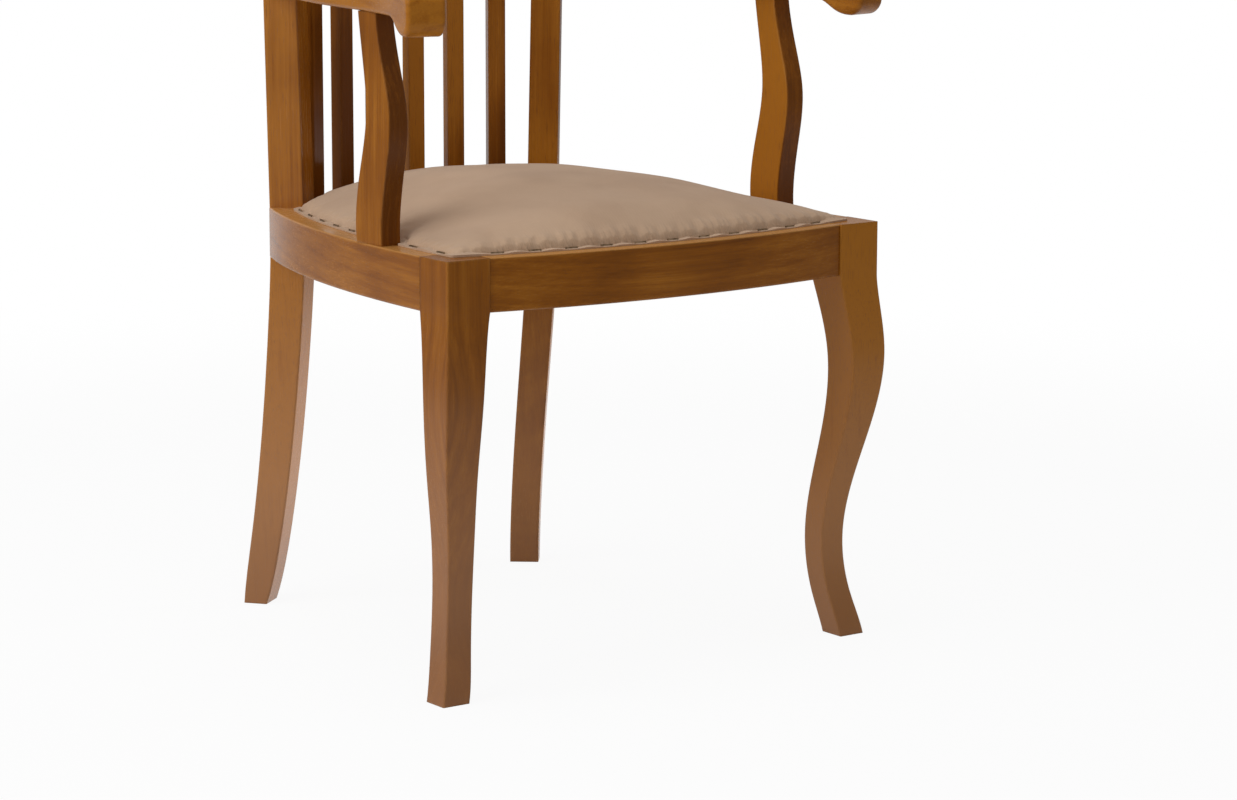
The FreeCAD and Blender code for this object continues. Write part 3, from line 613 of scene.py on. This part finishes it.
@dataclass
class SeatCushion:
    """Calico drawn over the stuffing and stapled along its border.

    Attributes:
        step: Distance between the points of its border.
        inner_step: Distance between the points of its crown.
        rings: Rows of points that follow the border.
        border: Width of the stapled border.
        thickness: Thickness of the border.
        press: How far a staple presses the border in.
        grip: Half the stretch of border that a staple holds.
        lift: How far the cloth may rise.
        frames: Steps of the cloth simulation.
        pucker: Height of the folds at the border.
        reach: How far in the folds run.
        unevenness: Height of the lumps in the stuffing.
        fray: How far the cut edge wanders.
        crease: Half the length of the crease at a staple.
        staple_room: Distance that tells two staples apart.
        thinnest: Least height of the cloth over the frame.
        underlay: Height of its underside over the frame.
    """

    step: float = 0.0032
    inner_step: float = 0.0056
    rings: int = 5
    border: float = 0.009
    thickness: float = 0.0015
    press: float = 0.0004
    grip: float = 0.009
    lift: float = 0.0045
    frames: int = 20
    pucker: float = 0.001
    reach: float = 0.02
    unevenness: float = 0.0016
    fray: float = 0.0009
    crease: float = 0.007
    staple_room: float = 0.02
    thinnest: float = 0.0006
    underlay: float = 0.0001

    # Border widths at which the crown begins and its easing ends, rounds of it, and a height above
    FOOT, EASED, ROUNDS, OVER = 0.6, 5, 14, 0.1
    CLOTH = {"quality": 5, "tension_stiffness": 18, "compression_stiffness": 12,
             "shear_stiffness": 5, "bending_stiffness": 0.4, "use_pressure": True,
             "uniform_pressure_force": 4}
    # Seed, sizes and profile of the folds, creases per metre each way, and shares of the pucker
    SEED, FOLD_SIZES, FOLD_POWER, SWELL_REACH = 7, (0.35, 1.3), 1.3, 0.4
    CREASES, CREASE_SHARE, PULL_SHARE = (75, 22), 0.5, 0.4
    # Hold of the border between staples, and its rise away from them
    HEM_HOLD, HEM_SLOPE = 0.55, 0.12
    # Lumps and frayed threads per metre, how far in they fade, and half the seat's width
    LUMPS, LUMP_INSET, THREADS, FRAY_INSET, HALF_WIDTH = 16, 0.05, 150, 0.004, 0.24

    def staples(self) -> Array:
        """Groups the staples' vertices by place.

        Returns:
            Plan points of the staples' middles.
        """
        groups: list[list[Array]] = []
        for vertex in cad("cover_staples").data.vertices:
            point = np.array(vertex.co[:2])
            home = next((g for g in groups if math.dist(g[0], point) < self.staple_room), None)
            if home is None:
                groups.append([point])
            else:
                home.append(point)
        return np.array([(np.min(g, axis=0) + np.max(g, axis=0)) / 2 for g in groups])

    def heights(self, points: Array, inset: Array, faces: list[list[int]]) -> Array:
        """Heights of the cover's top, with the foot of its crown eased.

        Args:
            points: Plan points.
            inset: How far in each one lies.
            faces: The triangles between them.

        Returns:
            One height for each point.
        """
        low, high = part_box("seat_cover")
        tree = solid("seat_cover")
        level = np.full(len(points), low.z + self.thickness)
        crown = inset > self.border * self.FOOT
        for place in np.flatnonzero(crown):
            above = Vector((points[place][0], points[place][1], high.z + self.OVER))
            hit = tree.ray_cast(above, Vector((0, 0, -1)))[0]
            if hit is not None:
                level[place] = hit.z
        ends = np.array([(f[a], f[a - 1]) for f in faces for a in range(3)])
        share = np.zeros(len(points))
        np.add.at(share, ends[:, 0], 1)
        np.add.at(share, ends[:, 1], 1)
        loose = crown & (inset < self.EASED * self.border)
        for _ in range(self.ROUNDS):
            total = np.zeros(len(points))
            np.add.at(total, ends[:, 0], level[ends[:, 1]])
            np.add.at(total, ends[:, 1], level[ends[:, 0]])
            level = np.where(loose, total / share, level)
        return level

    def tightened(self, thing: Thing, hold: Array) -> Array:
        """Lets the stuffing press the cloth outward between its staples.

        Args:
            thing: The cloth, which keeps its own shape.
            hold: How firmly each vertex is held, from 0 to 1.

        Returns:
            The pressed vertices, none further off than lift.
        """
        start = np.array([v.co[:] for v in thing.data.vertices])
        group = thing.vertex_groups.new(name="held")
        for place, weight in enumerate(hold):
            if weight > 0:
                group.add([place], float(weight), "REPLACE")
        cloth = thing.modifiers.new("pressed", "CLOTH")
        for name, value in self.CLOTH.items():
            setattr(cloth.settings, name, value)
        cloth.settings.vertex_group_mass = group.name
        cloth.settings.effector_weights.gravity = 0
        cloth.point_cache.frame_start = 1
        cloth.point_cache.frame_end = self.frames
        for step in range(1, self.frames + 1):
            bpy.context.scene.frame_set(step)
        shown = thing.evaluated_get(bpy.context.evaluated_depsgraph_get())
        end = np.array([v.co[:] for v in shown.data.vertices])
        thing.modifiers.remove(cloth)
        thing.vertex_groups.remove(group)
        bpy.context.scene.frame_set(1)
        move = end - start
        far = np.linalg.norm(move, axis=1)
        LOG.info("seat cloth moved %.4f m at most", far.max())
        kept = self.lift * np.tanh(far / self.lift) / np.maximum(far, 1e-9)
        return start + move * kept[:, None]

    def folds(self, plan: Plan, points: Array, grips: Array) -> Array:
        """Heights of the puckers between the staples.

        Args:
            plan: The outline of the cover.
            points: Vertices of the cloth.
            grips: How far along the outline the staples are, in order.

        Returns:
            A height to add to each vertex.
        """
        run, inset = plan.locate(points[:, :2])
        nearest = np.searchsorted(grips, run) % len(grips)
        before = grips[nearest - 1]
        gap = (grips[nearest] - before) % plan.length
        part = ((run - before) % plan.length) / gap
        size = np.random.default_rng(self.SEED).uniform(*self.FOLD_SIZES, len(grips))[nearest]
        faded = np.exp(-inset / (self.SWELL_REACH * self.reach))
        swell = np.sin(math.pi * part) ** self.FOLD_POWER * faded
        along, inward = self.CREASES
        small = np.array([noise.noise(Vector((r * along, d * inward, 0)))
                          for r, d in zip(run, inset)])
        small = small * np.exp(-inset / self.reach) * np.minimum(1, inset / self.border)
        off = np.minimum(part, 1 - part) * gap
        middle = 0.5 * self.border
        pull = np.exp(-(off / self.crease) ** 2) * np.exp(-(inset - middle) / self.reach)
        rise = self.pucker * size * (swell + self.CREASE_SHARE * small)
        return rise - self.PULL_SHARE * self.pucker * pull * (inset > middle)

    def build(self) -> Thing:
        """Makes the cushion.

        Returns:
            A closed piece that stands for the cover and the stuffing.
        """
        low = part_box("seat_cover")[0]
        plan = Plan("seat_cover", low.z + self.thickness / 2, self.step)
        flat, faces = plan.net(self.rings, self.inner_step)
        inset = plan.locate(flat)[1]
        points = np.column_stack([flat, self.heights(flat, inset, faces)])
        thing = added("seat_cushion", points, faces)
        middles = self.staples()
        grips = np.sort(plan.locate(middles)[0])
        off = np.min(np.linalg.norm(flat[:, None, :] - middles[None, :, :], axis=2), axis=1)
        hold = np.where(inset < self.border, np.where(off < self.grip, 1.0, self.HEM_HOLD), 0.0)
        pressed = self.tightened(thing, hold)
        for vertex, point in zip(thing.data.vertices, pressed):
            vertex.co = point
        rounder = thing.modifiers.new("rounder", "SUBSURF")
        rounder.levels = 1
        shown = thing.evaluated_get(bpy.context.evaluated_depsgraph_get())
        fine = bpy.data.meshes.new_from_object(shown)
        thing.modifiers.remove(rounder)
        points = np.array([v.co[:] for v in fine.vertices])
        inset = plan.locate(points[:, :2])[1]
        points[:, 2] += self.folds(plan, points, grips)
        off = np.min(np.linalg.norm(points[:, None, :2] - middles[None, :, :], axis=2), axis=1)
        rise = self.HEM_SLOPE * np.maximum(off - self.crease, 0)
        hem = low.z + self.thickness - self.press + rise
        points[:, 2] = np.where(inset < self.border, np.minimum(points[:, 2], hem), points[:, 2])
        points[:, 2] = np.maximum(points[:, 2], low.z + self.thinnest)
        lumps = np.array([noise.noise(Vector(p) * self.LUMPS) for p in points])
        points[:, 2] += self.unevenness * (lumps * np.minimum(1, inset / self.LUMP_INSET))
        wander = np.array([noise.noise(Vector(p) * self.THREADS) for p in points])
        wander = wander * np.exp(-inset / self.FRAY_INSET)
        points[:, :2] *= (1 - np.abs(wander) * self.fray / self.HALF_WIDTH)[:, None]
        for vertex, point in zip(fine.vertices, points):
            vertex.co = point
        self.underside(fine, low.z + self.underlay)
        old, thing.data = thing.data, fine
        bpy.data.meshes.remove(old)
        fine.name = thing.name
        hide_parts("seat_cover", "seat_stuffing")
        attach(thing, "root")
        return thing

    @staticmethod
    def underside(mesh: bpy.types.Mesh, height: float) -> None:
        """Closes a sheet with a short wall and a flat underside.

        Args:
            mesh: The sheet.
            height: Height of the underside.
        """
        work = bmesh.new()
        work.from_mesh(mesh)
        rim = [edge for edge in work.edges if edge.is_boundary]
        wall = bmesh.ops.extrude_edge_only(work, edges=rim)["geom"]
        for vertex in (item for item in wall if isinstance(item, bmesh.types.BMVert)):
            vertex.co.z = height
        foot = [edge for edge in work.edges if edge.is_boundary]
        bmesh.ops.contextual_create(work, geom=foot)
        bmesh.ops.recalc_face_normals(work, faces=work.faces)
        work.to_mesh(mesh)
        work.free()
        mesh.shade_smooth()
        mesh.set_sharp_from_angle(angle=SHARP)

    def dress(self, thing: Thing) -> None:
        """Gives the cushion its calico and the staples their steel."""
        paint(thing, CALICO.material("calico"))
        paint(cad("cover_staples"), STEEL.material("staple_wire"))


@dataclass
class SeatBase:
    """Interlaced webbing and the hessian over it.

    Attributes:
        straps: How many straps run each way.
        columns: Points across a strap.
        rows: Points along a strap.
        margin: How much narrower and thinner the straps are than the room for them.
        ramp: Length in which a strap changes layer.
        net: Distance between the hessian's points.
        ripple: Height of the hessian's ripple.
    """

    straps: int = 4
    columns: int = 6
    rows: int = 140
    margin: float = 0.0002
    ramp: float = 0.014
    net: float = 0.012
    ripple: float = 0.0002

    # Ripples per metre, and how far in they fade
    RIPPLES, RIPPLE_INSET = 25, 0.02

    def strap(self, node: str, axis: int, crossed: Sequence[tuple[float, float]],
              lift: float) -> Thing:
        """Makes one strap.

        Args:
            node: The CAD node that it stands for.
            axis: The axis that it runs along, 0 or 1.
            crossed: Low and high edges of the straps that it changes layer at.
            lift: How far it moves there.

        Returns:
            The strap.
        """
        low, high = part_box(node)
        tree = solid(node)
        middle = (low.z + high.z) / 2
        half = (high.z - low.z) / 2 - self.margin
        way = Vector((1 - axis, axis, 0))
        spots = np.linspace(low[1 - axis] + self.margin, high[1 - axis] - self.margin, self.columns)
        points = []
        for spot in spots:
            start = Vector((spot, spot, middle))
            start[axis] = 0
            first = tree.ray_cast(start - way, way)[0][axis] + self.margin
            last = tree.ray_cast(start + way, -way)[0][axis] - self.margin
            for at in np.linspace(first, last, self.rows):
                swap = sum(self.window(at, edges) for edges in crossed)
                point = [spot, spot, middle + lift * swap]
                point[axis] = at
                points.append(point)
        top = np.array(points) + (0, 0, half)
        bottom = np.array(points) - (0, 0, half)
        starts = [start for start in range(len(points) - self.rows) if (start + 1) % self.rows]
        quads = [(a, a + self.rows, a + self.rows + 1, a + 1) for a in starts]
        faces = self.doubled(quads if axis else [quad[::-1] for quad in quads], len(points))
        return added(node.replace("webbing", "strap"), np.concatenate([top, bottom]), faces)

    def window(self, at: float, edges: tuple[float, float]) -> float:
        """1 over a crossing and 0 away from it."""
        out = max(edges[0] - at, at - edges[1], 0.0) / self.ramp
        return 0.0 if out >= 1 else 0.5 + 0.5 * math.cos(math.pi * out)

    def build(self) -> list[Thing]:
        """Makes the straps and the hessian.

        Returns:
            The pieces.
        """
        pieces = []
        ways = {0: "webbing_crosswise_", 1: "webbing_lengthwise_"}
        for axis, stem in ways.items():
            for place in range(1, self.straps + 1):
                node = f"{stem}{place}"
                others = [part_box(f"{ways[1 - axis]}{other}") for other in range(1, self.straps + 1)
                          if (other + place) % 2]
                edges = [(low[axis], high[axis]) for low, high in others]
                low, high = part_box(node)
                depth = high.z - low.z
                strap = self.strap(node, axis, edges, depth if axis else -depth)
                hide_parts(node)
                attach(strap, "root")
                pieces.append(strap)
        pieces.append(self.hessian(pieces))
        return pieces

    def hessian(self, straps: Sequence[Thing]) -> Thing:
        """Makes the hessian.

        Args:
            straps: The straps that it lies on.

        Returns:
            The sheet.
        """
        low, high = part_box("seat_hessian")
        plan = Plan("seat_hessian", (low.z + high.z) / 2, self.net / 2)
        flat, faces = plan.net(1, self.net)
        inset = plan.locate(flat)[1]
        ripple = np.array([noise.noise(Vector((p[0], p[1], 0)) * self.RIPPLES) for p in flat])
        faded = np.minimum(1, inset / self.RIPPLE_INSET)
        level = (low.z + high.z) / 2 + self.ripple * ripple * faded
        half = (high.z - low.z) / 2 - self.margin
        layers = [np.column_stack([flat, level + half]), np.column_stack([flat, level - half])]
        cloth = added("hessian_sheet", np.concatenate(layers), self.doubled(faces, len(flat)))
        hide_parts("seat_hessian")
        plan.size()
        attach(cloth, "root")
        return cloth

    @staticmethod
    def doubled(faces: Sequence[Sequence[int]], count: int) -> list[Sequence[int]]:
        """Closes a sheet.

        Args:
            faces: Faces of its top.
            count: Vertices of the top, which come before those of the underside.

        Returns:
            The top, the underside and the wall along their edge.
        """
        ways = {(face[place - 1], face[place]) for face in faces for place in range(len(face))}
        wall = [(b, a, a + count, b + count) for a, b in sorted(ways) if (b, a) not in ways]
        under = [[corner + count for corner in reversed(face)] for face in faces]
        return [*faces, *under, *wall]

    def dress(self, pieces: Sequence[Thing]) -> None:
        """Gives the straps, the hessian and the tacks their finishes.

        Args:
            pieces: The straps, and then the hessian.
        """
        jute = JUTE.material("jute_webbing")
        for piece in pieces[:-1]:
            paint(piece, jute)
        paint(pieces[-1], HESSIAN.material("hessian"))
        paint(cad("webbing_tacks"), STEEL.material("tack_steel"))


@dataclass
class Woodwork:
    """The stained frame with its raw corner blocks.

    Attributes:
        slats: How many slats the back has.
        thin_top: How much paler the tops of the seat rails are from thin stain and painted light
            from above, from 0 to 1.
        root: How much painted shade darkens the back slats down by the seat.
    """

    slats: int = 6
    thin_top: float = 0.75
    root: float = 0.4

    # Pieces that took the stain in their own way; some of these tones are painted light or shade
    PALER = {"front_leg_left": 0.5, "rear_stile_left": 0.2, "rear_stile_right": 0.4,
             "arm_support_left": 0.6, "arm_support_right": 0.04, "arm_right": 0.3, "arm_left": 0.2,
             "seat_rail_right": 0.08, "back_slat_1": -0.26, "back_slat_2": -0.26,
             "back_slat_4": 0.62, "back_slat_5": 0.42}
    # Painted shade on these pieces' front and back faces over the seat frame
    SAWN = {"arm_support_left": 0.85, "arm_support_right": 0.4, "rear_stile_right": 0.55}
    GLOSS = {"seat_rail_right": 1.4, "rear_stile_right": 2.2, "back_slat_1": 0.2}
    # Pieces that each side has, and the plank of the first raw piece
    SIDED = {"front_leg": Grain.UPRIGHT, "rear_stile": Grain.UPRIGHT,
             "seat_rail": Grain.FORE_AND_AFT, "arm": Grain.FORE_AND_AFT,
             "arm_support": Grain.UPRIGHT}
    RAW_SEED = 41

    def stained(self) -> dict[str, Grain]:
        """Lists the stained pieces.

        Returns:
            Which way the fibres of each one run.
        """
        pieces = {f"{stem}_{side}": grain
                  for side in ("left", "right") for stem, grain in self.SIDED.items()}
        pieces |= dict.fromkeys(("seat_rail_front", "seat_rail_back", "crest_rail"), Grain.ACROSS)
        return pieces | {f"back_slat_{slat}": Grain.UPRIGHT for slat in range(1, self.slats + 1)}

    def take(self, node: str) -> Take:
        """How a piece took the stain."""
        return Take(paler=self.PALER.get(node, 0.0),
                    thin_top=self.thin_top if node.startswith("seat_rail") else 0.0,
                    sawn=self.SAWN.get(node, 0.0),
                    root=self.root if node.startswith("back_slat") else 0.0,
                    seat=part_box("seat_cover")[1].z, gloss=self.GLOSS.get(node, 1.0))

    def dress(self) -> None:
        """Gives every wooden piece its own plank, and the screws their steel."""
        for seed, (node, grain) in enumerate(self.stained().items(), start=1):
            paint(cad(node), STAINED.material(f"stained_{node}", grain, seed, self.take(node)))
            LOG.info("stained %s", node)
        corners = [f"{end}_{side}" for end in ("front", "rear") for side in ("left", "right")]
        for seed, corner in enumerate(corners, start=self.RAW_SEED):
            paint(cad(f"corner_block_{corner}"), RAW.material(f"raw_{corner}", Grain.ACROSS, seed))
        last = self.RAW_SEED + len(corners)
        paint(cad("arm_dowels"), RAW.material("raw_dowel", Grain.ACROSS, last))
        paint(cad("corner_block_screws"), STEEL.material("screw_steel"))


@dataclass(frozen=True)
class Lamp:
    """A square lamp that the camera doesn't see.

    Attributes:
        name: Its name.
        stand: Where it is.
        power: Its power in watts.
        side: Its side.
        aim: What it faces.
        spread: Degrees that its light fans out.
    """

    name: str
    stand: Triple
    power: float
    side: float
    aim: Triple = (0, 0, 0.42)
    spread: float = 180

    def build(self) -> None:
        """Adds the lamp to the scene."""
        data = bpy.data.lights.new(self.name, "AREA")
        data.energy = self.power
        data.size = self.side
        data.spread = math.radians(self.spread)
        thing = bpy.data.objects.new(self.name, data)
        thing.location = self.stand
        thing.visible_camera = False
        way = Vector(self.aim) - Vector(self.stand)
        thing.rotation_euler = way.to_track_quat("-Z", "Y").to_euler()
        bpy.context.scene.collection.objects.link(thing)


@dataclass
class Studio:
    """Camera, lamps, floor and background.

    Attributes:
        stand: Where the camera is.
        heading: Degrees from +Y towards +X that it looks.
        pitch: Degrees that it looks down.
        roll: Degrees that its right side is raised.
        lens: Focal length in millimetres.
        floor_side: Side of the floor.
        floor_drop: How far under the feet it is.
        sweep: How far round the chair the floor mirrors white.
        matt: Grey of the floor under its white.
        shade: How much of that grey, with the chair's shadow, shows near the chair.
        backdrop_heading: Degrees from +Y towards +X at which the backdrop stands.
        sky: Strength of the light from all round.
        lamps: A large one, a small one near the floor, and one over the chair.
    """

    stand: Triple = (-2.10742, -3.04756, 0.89735)
    heading: float = 36.1513
    pitch: float = 10.1072
    roll: float = 0.1424
    lens: float = 105.876
    floor_side: float = 40
    floor_drop: float = 0.0002
    sweep: float = 1.3
    matt: float = 0.85
    shade: float = 0.07
    backdrop_heading: float = 18
    sky: float = 0.35
    lamps: Sequence[Lamp] = (
        Lamp("key_lamp", (-3, 0.1, 1.9), 50, 2.6),
        Lamp("low_lamp", (2.3, -0.3, 0.15), 0.35, 0.3, (-0.22, 0.2, 0.15), 14),
        Lamp("top_lamp", (-0.3, -0.2, 3), 22, 1.6))

    # Sensor in millimetres, sight, edges of the sweep, and cosines of the backdrop's edges
    SENSOR, SIGHT, SWEEP_SPAN, BACKDROP_SPAN = 36, 200, (0.8, 1.8), (0.9, 0.98)

    def camera(self) -> None:
        """Stands the camera where the photograph was taken."""
        pose = Matrix.Translation(self.stand)
        for angle, axis in ((-self.heading, "Z"), (90 - self.pitch, "X"), (self.roll, "Z")):
            pose = pose @ Matrix.Rotation(math.radians(angle), 4, axis)
        data = bpy.data.cameras.new("camera")
        data.sensor_width = self.SENSOR
        data.lens = self.lens
        data.clip_end = self.SIGHT
        eye = bpy.data.objects.new("camera", data)
        eye.matrix_world = pose
        bpy.context.scene.collection.objects.link(eye)
        bpy.context.scene.camera = eye

    @staticmethod
    def seen(graph: Graph, mirrored: Signal) -> Signal:
        """White that a ray shows: 1 straight or through glass, and another share when mirrored."""
        path = graph.node("LightPath")
        return (path.larger(path.sibling("Is Glossy Ray") * mirrored)
                .larger(path.sibling("Is Transmission Ray")))

    def behind(self, graph: Graph, way: Signal) -> Signal:
        """How far a direction points at the backdrop.

        Args:
            graph: The node tree.
            way: The direction.

        Returns:
            1 towards it and 0 elsewhere.
        """
        turn = math.radians(self.backdrop_heading)
        flat = graph.node("VectorMath", {0: way}, operation="NORMALIZE")
        ahead = (math.sin(turn), math.cos(turn), 0.0)
        return graph.ease(graph.dot(flat, ahead), *self.BACKDROP_SPAN)

    def background(self) -> None:
        """White backdrop behind the chair, and a soft even light from all round."""
        world = bpy.data.worlds.new("studio")
        bpy.context.scene.world = world
        graph = Graph(world)
        soft = graph.node("Background", {"Color": WHITE, "Strength": self.sky})
        white = graph.node("Background", {"Color": WHITE, "Strength": 1.0})
        behind = self.behind(graph, graph.node("TexCoord", None, "Generated"))
        mixed = graph.node("MixShader", {0: self.seen(graph, behind), 1: soft, 2: white})
        graph.close(mixed, "OutputWorld")

    def floor(self) -> None:
        """White floor that keeps a faint shadow of the chair."""
        half = self.floor_side / 2
        corners = half * np.array([(-1, -1, 0), (1, -1, 0), (1, 1, 0), (-1, 1, 0)])
        thing = added("floor", corners - (0, 0, self.floor_drop), [(0, 1, 2, 3)])
        graph = Graph(bpy.data.materials.new("floor_white"))
        matt = graph.node("BsdfDiffuse", {"Color": (self.matt, self.matt, self.matt, 1.0)})
        glow = graph.node("Emission", {"Color": WHITE, "Strength": 1.0})
        place = graph.place()
        x, y, _ = graph.split(place)
        span = (share * self.sweep for share in self.SWEEP_SPAN)
        near = 1 - graph.ease((x * x + y * y) ** 0.5, *span)
        shown = self.seen(graph, near.larger(self.behind(graph, place))) * (1 - near * self.shade)
        paint(thing, graph.close(graph.node("MixShader", {0: shown, 1: matt, 2: glow})))

    def build(self) -> None:
        """Sets up the studio."""
        self.camera()
        self.background()
        self.floor()
        for lamp in self.lamps:
            lamp.build()
        bpy.context.scene.view_settings.view_transform = "Standard"


def main() -> None:
    """Dresses the chair piece by piece and lights it."""
    logging.basicConfig(level=logging.INFO, format="%(message)s")
    Woodwork().dress()
    base = SeatBase()
    base.dress(base.build())
    LOG.info("webbing and hessian laid")
    cushion = SeatCushion()
    cushion.dress(cushion.build())
    LOG.info("seat covered")
    Studio().build()


if __name__ == "__main__":
    main()
